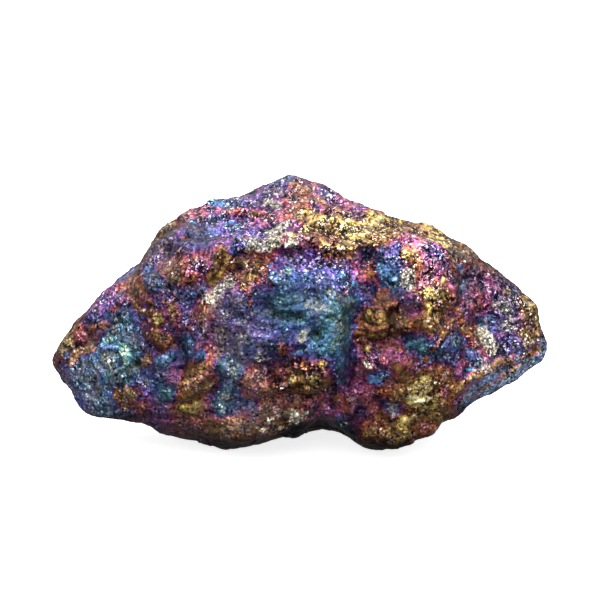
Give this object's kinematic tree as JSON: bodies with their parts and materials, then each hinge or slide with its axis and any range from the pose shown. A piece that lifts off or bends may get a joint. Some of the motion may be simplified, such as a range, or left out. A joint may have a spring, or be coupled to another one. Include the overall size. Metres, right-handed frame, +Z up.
{
  "type": "peacock ore specimen",
  "caption": "Broken lump of tarnished copper ore, peaked on top and drawn out to a tip at each side, with ledges, knobs and pits, resting on a small flat spot.",
  "frame": {"origin": "on the resting plane, under the middle of the lump's box", "axes": "+X along the lump towards its blunter tip, +Z up, and the peaked front with the deep crevice looks towards -Y"},
  "size_m": [0.0904, 0.0504, 0.0481],
  "materials": {
    "tarnished_ore": "granular broken sulphide with a metallic tarnish that runs from gold and copper through rose and violet to blue and teal"
  },
  "bodies": {
    "root": {"ore_stone": "tarnished_ore"}
  },
  "joints": []
}
